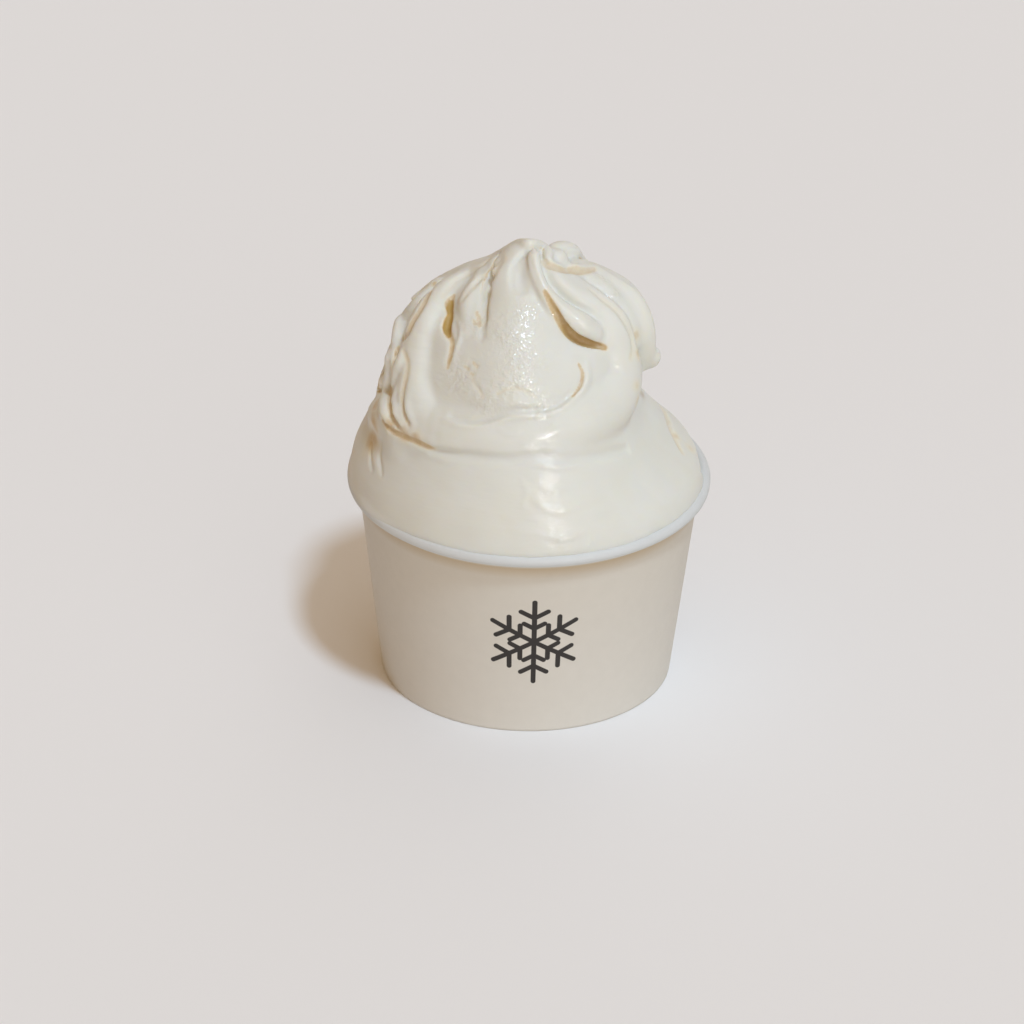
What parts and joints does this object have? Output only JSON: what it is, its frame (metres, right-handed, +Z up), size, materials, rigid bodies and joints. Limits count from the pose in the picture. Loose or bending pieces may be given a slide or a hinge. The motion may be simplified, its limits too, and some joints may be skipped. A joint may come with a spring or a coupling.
{
  "type": "gelato cup",
  "caption": "Tapered paper cup with a rolled rim, heaped high with white gelato laid on in soft folds that sweep up to a curled peak.",
  "frame": {"origin": "middle of the cup's foot, on the surface that it stands on", "axes": "+Z up along the cup's axis; -Y is the front, the side that the picture shows; +X to the viewer's right"},
  "size_m": [0.08, 0.08, 0.1046],
  "materials": {
    "paper": "matt",
    "gelato": "wet gloss"
  },
  "bodies": {
    "root": {"cup_wall": "paper", "cup_base": "paper", "gelato": "gelato"}
  },
  "joints": []
}
